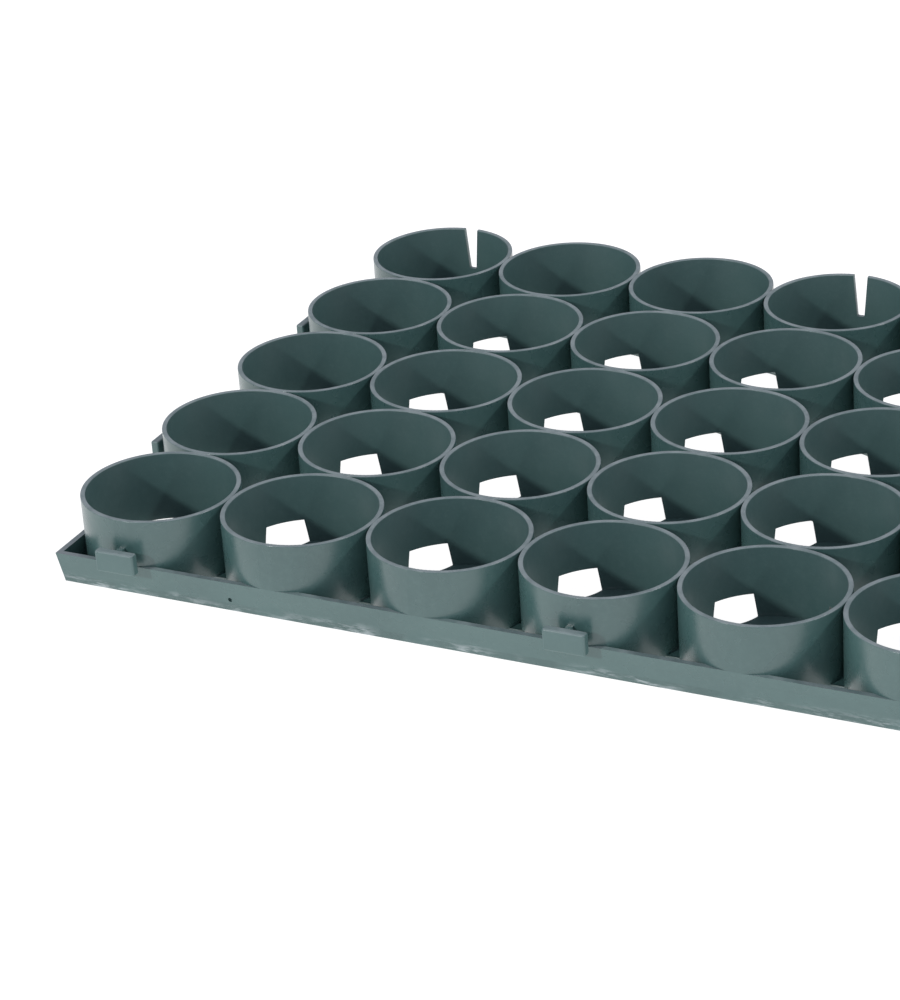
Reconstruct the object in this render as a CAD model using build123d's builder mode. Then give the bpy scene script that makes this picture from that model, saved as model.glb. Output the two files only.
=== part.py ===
"""Plug tray: fifty open round cells whose floors join into one perforated base plate.

The tray stands on Z = 0 with +Z up. The origin is the middle of its footprint.
+X runs along the ten columns, from left to right. +Y runs along the five rows, front to rear.
All sizes are in millimetres.
"""

import os

from build123d import *

os.makedirs("parts", exist_ok=True)

# ---- driving dimensions ---------------------------------------------------------------

PITCH = 54.0                # centre to centre of two neighbouring cells, both ways
COLUMNS = 10                # cells from left to right
ROWS = "abcde"              # cells from front to rear, one letter for each row
HEIGHT = 27.5               # base to the rim of the cells

BORE_RADIUS = 25.4          # inside of a cell
WALL_RADIUS = 27.1          # outside of a cell: neighbours meet on a narrow flat
RIM_ROUND = 0.35            # rounding of the two edges of the rim
PLATE_THICK = 2.8           # base plate: every cell has its square of it as a floor

FLANGE_TOP = 11.0           # height of the flange around the tray, and of the side windows
FLANGE_THICK = 2.0
FLANGE_FLARE = 1.6          # how far the flange leans out between the base and its top

OPENING_FOOT = 16.3         # radius of the round opening between four cells, at the base
OPENING_TOP = 15.2          # the same where it ends, level with the flange's top

SLOT_TOP = 5.6              # V slot that takes the lug of the next tray
SLOT_BOTTOM = 2.8
SLOT_ROUND = 0.5            # rounding of its two lower corners
SLOT_DEPTH = 4.0            # how far the cut reaches in from the side of the tray

LUG_WIDTH = 14.6            # plate of a T-shaped link lug
LUG_THICK = 3.2
LUG_REACH = 6.0             # outer face of the lug plate beyond the side of the tray
LUG_FOOT = 10.5
LUG_TOP = 18.1
LUG_ROUND = 0.8             # rounding of all the edges of the lug plate
WEB_THICK = 2.0             # neck between the lug plate and the cell wall
WEB_TOP = 17.5

GATE_RADIUS = 0.8           # moulding gate mark on the front flange
GATE_DEPTH = 1.0
GATE_OFFSET = 39.0          # from the front-left cell's centre line to the mark
GATE_HEIGHT = 4.2

LINK_COLUMNS = (1, 4, 7, 10)    # cells with a lug at the front and a slot at the rear
LINK_ROWS = ("b", "d")          # cells with a lug at the left and a slot at the right

# ---- sizes that follow ----------------------------------------------------------------

HALF = PITCH / 2
LENGTH = COLUMNS * PITCH
WIDTH = len(ROWS) * PITCH
LEAN_SLOPE = FLANGE_FLARE / FLANGE_TOP
SLOT_SLOPE = (SLOT_TOP - SLOT_BOTTOM) / (HEIGHT - FLANGE_TOP)
STANDING = (Align.CENTER, Align.CENTER, Align.MIN)


def column_x(column):
    """X of a column's centre line. Column 1 is at the left."""
    return (column - (COLUMNS + 1) / 2) * PITCH


def row_y(row):
    """Y of a row's centre line. Row a is at the front."""
    return (ROWS.index(row) - (len(ROWS) - 1) / 2) * PITCH


def lean(z):
    """How far the flange's outer face lies inside the footprint at height z."""
    return (FLANGE_TOP - z) * LEAN_SLOPE


def footprint_loft(low, high, inset):
    """The leaning block between two heights, pulled in from the flange's outer face."""
    with BuildPart(mode=Mode.PRIVATE) as block:
        for z in (low, high):
            with BuildSketch(Plane.XY.offset(z)):
                Rectangle(LENGTH - 2 * (lean(z) + inset), WIDTH - 2 * (lean(z) + inset))
        loft()
    return block.part


def save(part, name):
    """Label one node and write its file."""
    part.label = name
    export_step(part, f"parts/{name}.step")


COLUMN_NUMBERS = range(1, COLUMNS + 1)
CELL_CENTRES = [(column_x(c), row_y(r)) for r in ROWS for c in COLUMN_NUMBERS]
INNER_OPENINGS = [(column_x(c) + HALF, row_y(r) + HALF) for r in ROWS[:-1] for c in COLUMN_NUMBERS[:-1]]
LONG_SIDE_OPENINGS = [(column_x(c) + HALF, s * WIDTH / 2) for s in (-1, 1) for c in COLUMN_NUMBERS[:-1]]
SHORT_SIDE_OPENINGS = [(s * LENGTH / 2, row_y(r) + HALF) for s in (-1, 1) for r in ROWS[:-1]]


# ---- flange ---------------------------------------------------------------------------

# One frame right round the tray, split below into its four sides. The bores of the outer
# cells are cut through it, so that it fills in for the foot of their walls.
with BuildPart() as flange_frame:
    add(footprint_loft(PLATE_THICK, FLANGE_TOP, 0))
    add(footprint_loft(PLATE_THICK, FLANGE_TOP, FLANGE_THICK), mode=Mode.SUBTRACT)
    with Locations(*[(x, y, PLATE_THICK) for x, y in CELL_CENTRES]):
        Cylinder(BORE_RADIUS, FLANGE_TOP, align=STANDING, mode=Mode.SUBTRACT)
    with Locations(
        Location(
            (column_x(1) + GATE_OFFSET, lean(GATE_HEIGHT) - WIDTH / 2, GATE_HEIGHT),
            (90, 0, 0),
        )
    ):
        Cylinder(GATE_RADIUS, 2 * GATE_DEPTH, mode=Mode.SUBTRACT)


def flange_side(along_x, sign):
    """One mitred side of the flange frame."""
    long_half, short_half = (LENGTH / 2, WIDTH / 2) if along_x else (WIDTH / 2, LENGTH / 2)
    corners = [
        (-long_half - HALF, sign * (short_half + HALF)),
        (long_half + HALF, sign * (short_half + HALF)),
        (long_half - HALF, sign * (short_half - HALF)),
        (-long_half + HALF, sign * (short_half - HALF)),
    ]
    if not along_x:
        corners = [(b, a) for a, b in corners]
    with BuildPart() as side:
        add(flange_frame.part)
        with BuildSketch():
            Polygon(*corners, align=None)
        extrude(amount=FLANGE_TOP, mode=Mode.INTERSECT)
    return side.part


save(flange_side(True, -1), "front_flange")
save(flange_side(True, 1), "rear_flange")
save(flange_side(False, -1), "left_flange")
save(flange_side(False, 1), "right_flange")


# ---- cells ----------------------------------------------------------------------------

# What the outer cells leave free: the space beyond the leaning edge of the base plate, the
# space of the flange that stands on it, and the openings that the flange cuts off straight
with BuildPart() as edge_trim:
    Box(LENGTH + PITCH, WIDTH + PITCH, FLANGE_TOP, align=STANDING)
    add(footprint_loft(0, PLATE_THICK, 0), mode=Mode.SUBTRACT)
    add(footprint_loft(PLATE_THICK, FLANGE_TOP, FLANGE_THICK), mode=Mode.SUBTRACT)
    with BuildSketch():
        with Locations(*LONG_SIDE_OPENINGS, *SHORT_SIDE_OPENINGS):
            Circle(OPENING_FOOT)
        inset = lean(0) + FLANGE_THICK
        Rectangle(LENGTH - 2 * inset, WIDTH - 2 * inset, mode=Mode.INTERSECT)
    extrude(amount=PLATE_THICK)


def v_slot(plane):
    """The V-shaped cut through the wall that crosses this plane, down to the flange's top."""
    above = HEIGHT + 1
    half_top = (SLOT_BOTTOM + (above - FLANGE_TOP) * SLOT_SLOPE) / 2
    half_bottom = SLOT_BOTTOM / 2
    with BuildPart(mode=Mode.PRIVATE) as slot:
        with BuildSketch(plane) as slot_outline:
            Polygon(
                (-half_top, above),
                (half_top, above),
                (half_bottom, FLANGE_TOP),
                (-half_bottom, FLANGE_TOP),
                align=None,
            )
            fillet(slot_outline.vertices().group_by(Axis.Z)[0], SLOT_ROUND)
        extrude(amount=SLOT_DEPTH, both=True)
    return slot.part


def cell(row, column):
    """One cell: its square of the base plate, its round wall and, where trays link, a slot."""
    x, y = column_x(column), row_y(row)
    with BuildPart() as cup:
        with Locations((x, y, PLATE_THICK)):
            Cylinder(WALL_RADIUS, HEIGHT - PLATE_THICK, align=STANDING)
            Cylinder(BORE_RADIUS, HEIGHT - PLATE_THICK, align=STANDING, mode=Mode.SUBTRACT)
        rim = cup.edges().filter_by(GeomType.CIRCLE).group_by(Axis.Z)[-1]
        fillet(rim, RIM_ROUND)
        with Locations((x, y, 0)):
            Box(PITCH, PITCH, PLATE_THICK, align=STANDING)
            Box(PITCH, PITCH, HEIGHT, align=STANDING, mode=Mode.INTERSECT)

        # the openings shared with three other cells, which are windows in the wall as well
        near = [(u, v) for u, v in INNER_OPENINGS if abs(u - x) < PITCH and abs(v - y) < PITCH]
        with Locations(*near):
            Cone(OPENING_FOOT, OPENING_TOP, FLANGE_TOP, align=STANDING, mode=Mode.SUBTRACT)

        if row in (ROWS[0], ROWS[-1]) or column in (1, COLUMNS):
            add(edge_trim.part, mode=Mode.SUBTRACT)
        if row == ROWS[-1] and column in LINK_COLUMNS:
            rear_side = Plane((x, y + HALF, 0), x_dir=(1, 0, 0), z_dir=(0, -1, 0))
            add(v_slot(rear_side), mode=Mode.SUBTRACT)
        if row in LINK_ROWS and column == COLUMNS:
            right_side = Plane((x + HALF, y, 0), x_dir=(0, 1, 0), z_dir=(1, 0, 0))
            add(v_slot(right_side), mode=Mode.SUBTRACT)
    return cup.part


for row in ROWS:
    for column in COLUMN_NUMBERS:
        save(cell(row, column), f"cell_{row}{column}")


# ---- link lugs ------------------------------------------------------------------------


def link_lugs(places, turn):
    """T-shaped lugs. The neck of each meets the wall of its cell just above the flange."""
    web_length = LUG_REACH - LUG_THICK
    with BuildPart(mode=Mode.PRIVATE) as lug:
        with Locations((0, -LUG_REACH + LUG_THICK / 2, LUG_FOOT)):
            Box(LUG_WIDTH, LUG_THICK, LUG_TOP - LUG_FOOT, align=STANDING)
        fillet(lug.edges(), LUG_ROUND)
        with Locations((0, -web_length / 2, FLANGE_TOP)):
            Box(WEB_THICK, web_length, WEB_TOP - FLANGE_TOP, align=STANDING)
    with BuildPart() as lugs:
        with Locations(*[Location((x, y, 0), (0, 0, turn)) for x, y in places]):
            add(lug.part)
    return lugs.part


front_places = [(column_x(c), -WIDTH / 2) for c in LINK_COLUMNS]
left_places = [(-LENGTH / 2, row_y(r)) for r in LINK_ROWS]
save(link_lugs(front_places, 0), "front_link_lugs")
save(link_lugs(left_places, -90), "left_link_lugs")
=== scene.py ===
"""The plug tray as it looks: dark blue-green moulded plastic in plain soft studio light.

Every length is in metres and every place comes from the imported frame.
"""

import math

import bpy
from mathutils import Matrix, Vector


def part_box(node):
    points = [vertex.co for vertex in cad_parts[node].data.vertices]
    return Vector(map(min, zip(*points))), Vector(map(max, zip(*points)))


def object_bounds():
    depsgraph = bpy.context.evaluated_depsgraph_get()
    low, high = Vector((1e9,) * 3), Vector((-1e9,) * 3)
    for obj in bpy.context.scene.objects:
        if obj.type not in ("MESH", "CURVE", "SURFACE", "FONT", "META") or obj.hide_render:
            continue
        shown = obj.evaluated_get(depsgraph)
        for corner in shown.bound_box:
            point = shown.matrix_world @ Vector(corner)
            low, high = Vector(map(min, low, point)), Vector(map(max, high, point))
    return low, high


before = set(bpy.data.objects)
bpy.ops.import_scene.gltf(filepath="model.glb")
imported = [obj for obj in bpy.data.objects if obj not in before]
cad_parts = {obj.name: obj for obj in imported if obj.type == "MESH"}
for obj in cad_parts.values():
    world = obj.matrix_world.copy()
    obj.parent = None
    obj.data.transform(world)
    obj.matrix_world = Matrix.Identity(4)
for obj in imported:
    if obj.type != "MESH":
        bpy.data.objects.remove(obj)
cad_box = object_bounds()

# ---- places read from the frame --------------------------------------------------------


def middle(node):
    """The middle of a CAD node's box."""
    low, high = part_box(node)
    return (Vector(low) + Vector(high)) / 2


PITCH = (middle("cell_b3") - middle("cell_b2")).x
CELL_B2 = middle("cell_b2")
BASE_Z = cad_box[0].z
RIM_Z = cad_box[1].z
FLANGE_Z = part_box("front_flange")[1][2]
LUG_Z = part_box("front_link_lugs")[1][2]
FRONT_LEFT = Vector((CELL_B2.x - PITCH, CELL_B2.y - PITCH, RIM_Z))

MM = 0.001

# ---- colours, linear -------------------------------------------------------------------

PLASTIC_DEEP = (0.042, 0.098, 0.094, 1)
PLASTIC_MID = (0.052, 0.115, 0.109, 1)
PLASTIC_PALE = (0.070, 0.137, 0.129, 1)
# painted light: a paler tone laid inside the cells and over the flanges and lugs, in place of the
# light they catch
PAINTED_LIGHT_TONE = (0.104, 0.200, 0.192, 1)
# worn top edges, and a painted highlight on what faces up there
WORN_AND_HIGHLIGHT = (0.235, 0.305, 0.300, 1)
SCUFF = (0.42, 0.49, 0.50, 1)
FLOOR_COLOUR = (0.25, 0.25, 0.25, 1)
ROOM_COLOUR = (1.04, 0.95, 1.12, 1)

# ---- the plastic's surface -------------------------------------------------------------

BLOTCH_SIZE = 46 * MM
MOTTLE_SIZE = 2.2 * MM
SPECK_SIZE = 1.6 * MM           # round the wall of a cell
SPECK_SQUEEZE = 1.5             # how many times shorter a speck is up the wall

INSIDE_START = 0.490 * PITCH      # distance from a cell's axis where the inside begins
INSIDE_FULL = 0.480 * PITCH       # and where it is full
# how much paler the inside of a cell is painted, as painted light
INSIDE_PAINTED_LIGHT = 0.22

WEAR_AND_HIGHLIGHT_START = 0.5 * MM           # depth below a top edge where wear and painted highlight begin
WEAR_AND_HIGHLIGHT_FULL = 0.1 * MM            # and where it is full
WEAR_AND_HIGHLIGHT_STRENGTH = 0.85

SCUFF_START = 5.0 * MM          # height above the base where scuffs begin
SCUFF_FULL = 0.5 * MM           # and where they are full
SCUFF_STRENGTH = 0.75
SCUFF_STRETCH = (0.16, 0.16, 1.0)

GLOSSIEST = 0.25                # roughness, before wear and film
DULLEST = 0.32
WORN_DULLING = 0.14
INSIDE_DULLING = 0.18
PLASTIC_IOR = 1.72

SINK_SIZE = 15 * MM
SINK_DEPTH = 0.25 * MM
SPECK_DEPTH = 0.05 * MM
GRAIN_DEPTH = 0.03 * MM

# ---- the floor and the room ------------------------------------------------------------

FLOOR_REACH = 60.0
FLOOR_GAP = 0.1 * MM            # keeps the floor clear of the tray's flat underside
FLOOR_GLOW = 0.95
ROOM_GLOW = 0.50

# ---- node helpers ----------------------------------------------------------------------


class Graph:
    """A short way to write a material's nodes."""

    def __init__(self, name):
        self.material = bpy.data.materials.new(name)
        self.material.use_nodes = True
        self.nodes = self.material.node_tree.nodes
        self.links = self.material.node_tree.links
        self.shader = self.nodes["Principled BSDF"]

    def put(self, value, socket):
        """Link an output to a socket, or set the socket to a plain value."""
        if isinstance(value, bpy.types.NodeSocket):
            self.links.new(value, socket)
        else:
            socket.default_value = value

    def object_coordinates(self):
        return self.nodes.new("ShaderNodeTexCoord").outputs["Object"]

    def split(self, vector):
        node = self.nodes.new("ShaderNodeSeparateXYZ")
        self.put(vector, node.inputs[0])
        return node.outputs

    def join(self, x, y, z):
        node = self.nodes.new("ShaderNodeCombineXYZ")
        for value, socket in zip((x, y, z), node.inputs):
            self.put(value, socket)
        return node.outputs[0]

    def math(self, operation, *values):
        node = self.nodes.new("ShaderNodeMath")
        node.operation = operation
        for value, socket in zip(values, node.inputs):
            self.put(value, socket)
        return node.outputs[0]

    def vector_math(self, operation, *values):
        node = self.nodes.new("ShaderNodeVectorMath")
        node.operation = operation
        for value, socket in zip(values, node.inputs):
            self.put(value, socket)
        return node.outputs[0]

    def stretch(self, vector, factors):
        return self.vector_math("MULTIPLY", vector, factors)

    def noise(self, vector, size, detail=2.0, roughness=0.5):
        """Noise whose features are about this size, in metres."""
        node = self.nodes.new("ShaderNodeTexNoise")
        node.inputs["Scale"].default_value = 1 / size
        node.inputs["Detail"].default_value = detail
        node.inputs["Roughness"].default_value = roughness
        self.put(vector, node.inputs["Vector"])
        return node.outputs["Fac"]

    def ramp(self, value, low, high, to_low=0.0, to_high=1.0):
        """Smoothly map low..high to to_low..to_high."""
        node = self.nodes.new("ShaderNodeMapRange")
        node.interpolation_type = "SMOOTHSTEP"
        for item, socket in zip((value, low, high, to_low, to_high), node.inputs):
            self.put(item, socket)
        return node.outputs[0]

    def mix(self, factor, a, b):
        node = self.nodes.new("ShaderNodeMix")
        node.data_type = "RGBA"
        self.put(factor, node.inputs["Factor"])
        self.put(a, node.inputs[6])
        self.put(b, node.inputs[7])
        return node.outputs[2]

    def bump(self, height, distance, strength=1.0, normal=None):
        node = self.nodes.new("ShaderNodeBump")
        node.inputs["Strength"].default_value = strength
        node.inputs["Distance"].default_value = distance
        self.put(height, node.inputs["Height"])
        if normal is not None:
            self.put(normal, node.inputs["Normal"])
        return node.outputs[0]


# ---- the moulded plastic ---------------------------------------------------------------


def around_cell_axes(graph, position):
    """A place for the specks' pattern, wrapped round the nearest cell axis, and the distance
    from that axis. A speck comes out a little shorter up a wall than round it."""
    x, y, z = graph.split(position)
    across = graph.math("WRAP", graph.math("SUBTRACT", x, CELL_B2.x), PITCH / 2, -PITCH / 2)
    along = graph.math("WRAP", graph.math("SUBTRACT", y, CELL_B2.y), PITCH / 2, -PITCH / 2)
    offset = graph.join(across, along, 0.0)
    ring = graph.stretch(graph.vector_math("NORMALIZE", offset), (PITCH / 2,) * 3)
    lifted = graph.join(0.0, 0.0, graph.math("MULTIPLY", z, SPECK_SQUEEZE))
    squared = graph.math("MULTIPLY", across, across)
    squared = graph.math("ADD", squared, graph.math("MULTIPLY", along, along))
    return graph.vector_math("ADD", ring, lifted), graph.math("SQRT", squared)


def moulded_plastic(name, top, grain_size, specks, painted_light):
    """The tray's plastic: blotchy colour, fine grain, worn top edges with a painted highlight,
    painted light inside the cells and scuffed lower edges.

    top is the height of the edge that gets the wear and painted highlight. specks is how strong
    the fine pale specks are.
    The last argument is how much paler the whole part is painted, as painted light.
    """
    graph = Graph(name)
    position = graph.object_coordinates()
    z = graph.split(position)[2]
    speck_place, from_axis = around_cell_axes(graph, position)

    # colour: slow blotches, then a faint fine mottle
    blotches = graph.noise(position, BLOTCH_SIZE, detail=3.0)
    mottle = graph.noise(position, MOTTLE_SIZE, detail=4.0, roughness=0.65)
    colour = graph.mix(graph.ramp(blotches, 0.34, 0.66), PLASTIC_DEEP, PLASTIC_MID)
    colour = graph.mix(graph.ramp(mottle, 0.42, 0.78, 0.0, 0.45), colour, PLASTIC_PALE)

    # fine pale specks
    speckle = graph.noise(speck_place, SPECK_SIZE, detail=3.0, roughness=0.6)
    pale = graph.ramp(speckle, 0.52, 0.80, 0.0, specks)
    colour = graph.mix(pale, colour, PLASTIC_PALE)

    # painted light: a paler tone, strongest inside the cells, in place of the light that fills
    # them, and laid all over a part by the last argument
    inside = graph.ramp(from_axis, INSIDE_START, INSIDE_FULL)
    patches = graph.noise(position, 12 * MM, detail=4.0, roughness=0.6)
    patchy = graph.ramp(patches, 0.30, 0.70, 0.7, 1.0)
    painted_light_depth = graph.math("MAXIMUM", graph.math("MULTIPLY", inside, INSIDE_PAINTED_LIGHT), painted_light)
    painted_light_amount = graph.math("MULTIPLY", painted_light_depth, patchy)
    colour = graph.mix(painted_light_amount, colour, PAINTED_LIGHT_TONE)

    # wear and a painted highlight on what points up along the top edge
    normal = graph.nodes.new("ShaderNodeNewGeometry").outputs["Normal"]
    upward = graph.ramp(graph.split(normal)[2], 0.25, 0.95)
    at_rim = graph.ramp(z, top - WEAR_AND_HIGHLIGHT_START, top - WEAR_AND_HIGHLIGHT_FULL)
    rubbed_and_highlight = graph.ramp(graph.noise(position, 5 * MM, detail=4.0), 0.30, 0.70, 0.50, 1.0)
    worn_and_highlight = graph.math("MULTIPLY", graph.math("MULTIPLY", upward, at_rim), rubbed_and_highlight)
    colour = graph.mix(graph.math("MULTIPLY", worn_and_highlight, WEAR_AND_HIGHLIGHT_STRENGTH), colour, WORN_AND_HIGHLIGHT)

    # scuffs from sliding on benches, along the lower edge of upright faces
    sideways = graph.ramp(graph.math("ABSOLUTE", graph.split(normal)[2]), 0.5, 0.2)
    low = graph.ramp(z, BASE_Z + SCUFF_START, BASE_Z + SCUFF_FULL)
    rubs = graph.noise(graph.stretch(position, SCUFF_STRETCH), 1.3 * MM, detail=5.0, roughness=0.7)
    areas = graph.noise(position, 30 * MM, detail=2.0)
    scuffed = graph.math("MULTIPLY", graph.ramp(rubs, 0.46, 0.64), graph.ramp(areas, 0.38, 0.58))
    scuffed = graph.math("MULTIPLY", scuffed, graph.math("MULTIPLY", sideways, low))
    colour = graph.mix(graph.math("MULTIPLY", scuffed, SCUFF_STRENGTH), colour, SCUFF)
    graph.put(colour, graph.shader.inputs["Base Color"])

    # semi-gloss, duller where it is worn or scuffed and inside the cells
    sheen = graph.ramp(graph.noise(position, 9 * MM, detail=3.0), 0.30, 0.70, GLOSSIEST, DULLEST)
    dull = graph.math("MAXIMUM", worn_and_highlight, scuffed)
    roughness = graph.math("ADD", sheen, graph.math("MULTIPLY", dull, WORN_DULLING))
    roughness = graph.math("ADD", roughness, graph.math("MULTIPLY", inside, INSIDE_DULLING))
    graph.put(roughness, graph.shader.inputs["Roughness"])
    graph.shader.inputs["IOR"].default_value = PLASTIC_IOR

    # relief: slow sink of the thin walls, the specks, and the fine grain of the mould
    sink = graph.noise(position, SINK_SIZE, detail=1.0)
    grain = graph.noise(position, grain_size, detail=2.0, roughness=0.6)
    relief = graph.bump(sink, SINK_DEPTH, 0.35)
    relief = graph.bump(speckle, SPECK_DEPTH, 0.5 * specks, relief)
    relief = graph.bump(grain, GRAIN_DEPTH, 0.45, relief)
    graph.put(relief, graph.shader.inputs["Normal"])
    return graph.material


def paint(nodes, material):
    """Give CAD nodes a material."""
    for name in nodes:
        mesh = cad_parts[name].data
        mesh.materials.clear()
        mesh.materials.append(material)


cells = [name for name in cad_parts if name.startswith("cell_")]
flanges = [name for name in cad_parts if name.endswith("_flange")]
lugs = [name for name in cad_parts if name.endswith("_lugs")]
# the last argument of each is how much paler the part is painted all over, as painted light
paint(cells, moulded_plastic("cell_plastic", RIM_Z, grain_size=0.45 * MM, specks=0.5, painted_light=0.0))
paint(
    flanges,
    moulded_plastic("flange_plastic", FLANGE_Z, grain_size=0.55 * MM, specks=0.15, painted_light=0.22),
)
paint(lugs, moulded_plastic("lug_plastic", LUG_Z, grain_size=0.45 * MM, specks=0.15, painted_light=0.12))


# ---- floor -----------------------------------------------------------------------------


def floor():
    """A wide pale floor just under the tray, lit from within so that it stays white."""
    near = -FLOOR_REACH
    far = FLOOR_REACH
    level = BASE_Z - FLOOR_GAP
    mesh = bpy.data.meshes.new("floor")
    corners = [(near, near, level), (far, near, level), (far, far, level), (near, far, level)]
    mesh.from_pydata(corners, [], [(0, 1, 2, 3)])
    sheet = bpy.data.objects.new("floor", mesh)
    bpy.context.collection.objects.link(sheet)
    graph = Graph("pale_floor")
    graph.shader.inputs["Base Color"].default_value = FLOOR_COLOUR
    graph.shader.inputs["Roughness"].default_value = 0.9
    graph.shader.inputs["Specular IOR Level"].default_value = 0.1
    graph.shader.inputs["Emission Color"].default_value = (1, 1, 1, 1)
    graph.shader.inputs["Emission Strength"].default_value = FLOOR_GLOW
    mesh.materials.append(graph.material)


# ---- light -----------------------------------------------------------------------------


def soft_sun(name, azimuth, elevation, strength, spread):
    """An even soft light. Azimuth is measured from +X towards +Y. All angles are in degrees."""
    a, e = math.radians(azimuth), math.radians(elevation)
    towards = Vector((math.cos(a) * math.cos(e), math.sin(a) * math.cos(e), math.sin(e)))
    lamp = bpy.data.lights.new(name, "SUN")
    lamp.energy = strength
    lamp.angle = math.radians(spread)
    holder = bpy.data.objects.new(name, lamp)
    holder.rotation_euler = towards.to_track_quat("Z", "Y").to_euler()
    bpy.context.collection.objects.link(holder)


def studio():
    """A key from the front left, a weaker fill from the right, and a pale room."""
    soft_sun("key", azimuth=-115, elevation=27, strength=1.3, spread=4)
    soft_sun("fill", azimuth=10, elevation=38.5, strength=0.85, spread=3)
    world = bpy.data.worlds.new("room")
    world.use_nodes = True
    background = world.node_tree.nodes["Background"]
    background.inputs["Color"].default_value = ROOM_COLOUR
    background.inputs["Strength"].default_value = ROOM_GLOW
    bpy.context.scene.world = world
    bpy.context.scene.view_settings.view_transform = "Standard"


# ---- camera ----------------------------------------------------------------------------


def camera():
    """The view from the front right, a little above, with the tray's right end out of frame."""
    azimuth = math.radians(27.72)
    elevation = math.radians(26.23)
    tilt = math.radians(-4.07)
    distance = 19.42 * PITCH
    target = FRONT_LEFT + Vector((1.807 * PITCH, 0.402 * PITCH, 0))
    flat = math.cos(elevation)
    back = Vector((math.sin(azimuth) * flat, -math.cos(azimuth) * flat, math.sin(elevation)))
    right = Vector((0, 0, 1)).cross(back).normalized()
    up = back.cross(right)
    turn = Matrix((right, up, back)).transposed().to_4x4() @ Matrix.Rotation(tilt, 4, "Z")
    lens = bpy.data.cameras.new("camera")
    lens.sensor_width = 36
    lens.lens = 115.06
    lens.clip_start = 0.01
    lens.clip_end = 50
    holder = bpy.data.objects.new("camera", lens)
    holder.matrix_world = Matrix.Translation(target + back * distance) @ turn
    bpy.context.collection.objects.link(holder)
    bpy.context.scene.camera = holder


floor()
studio()
camera()
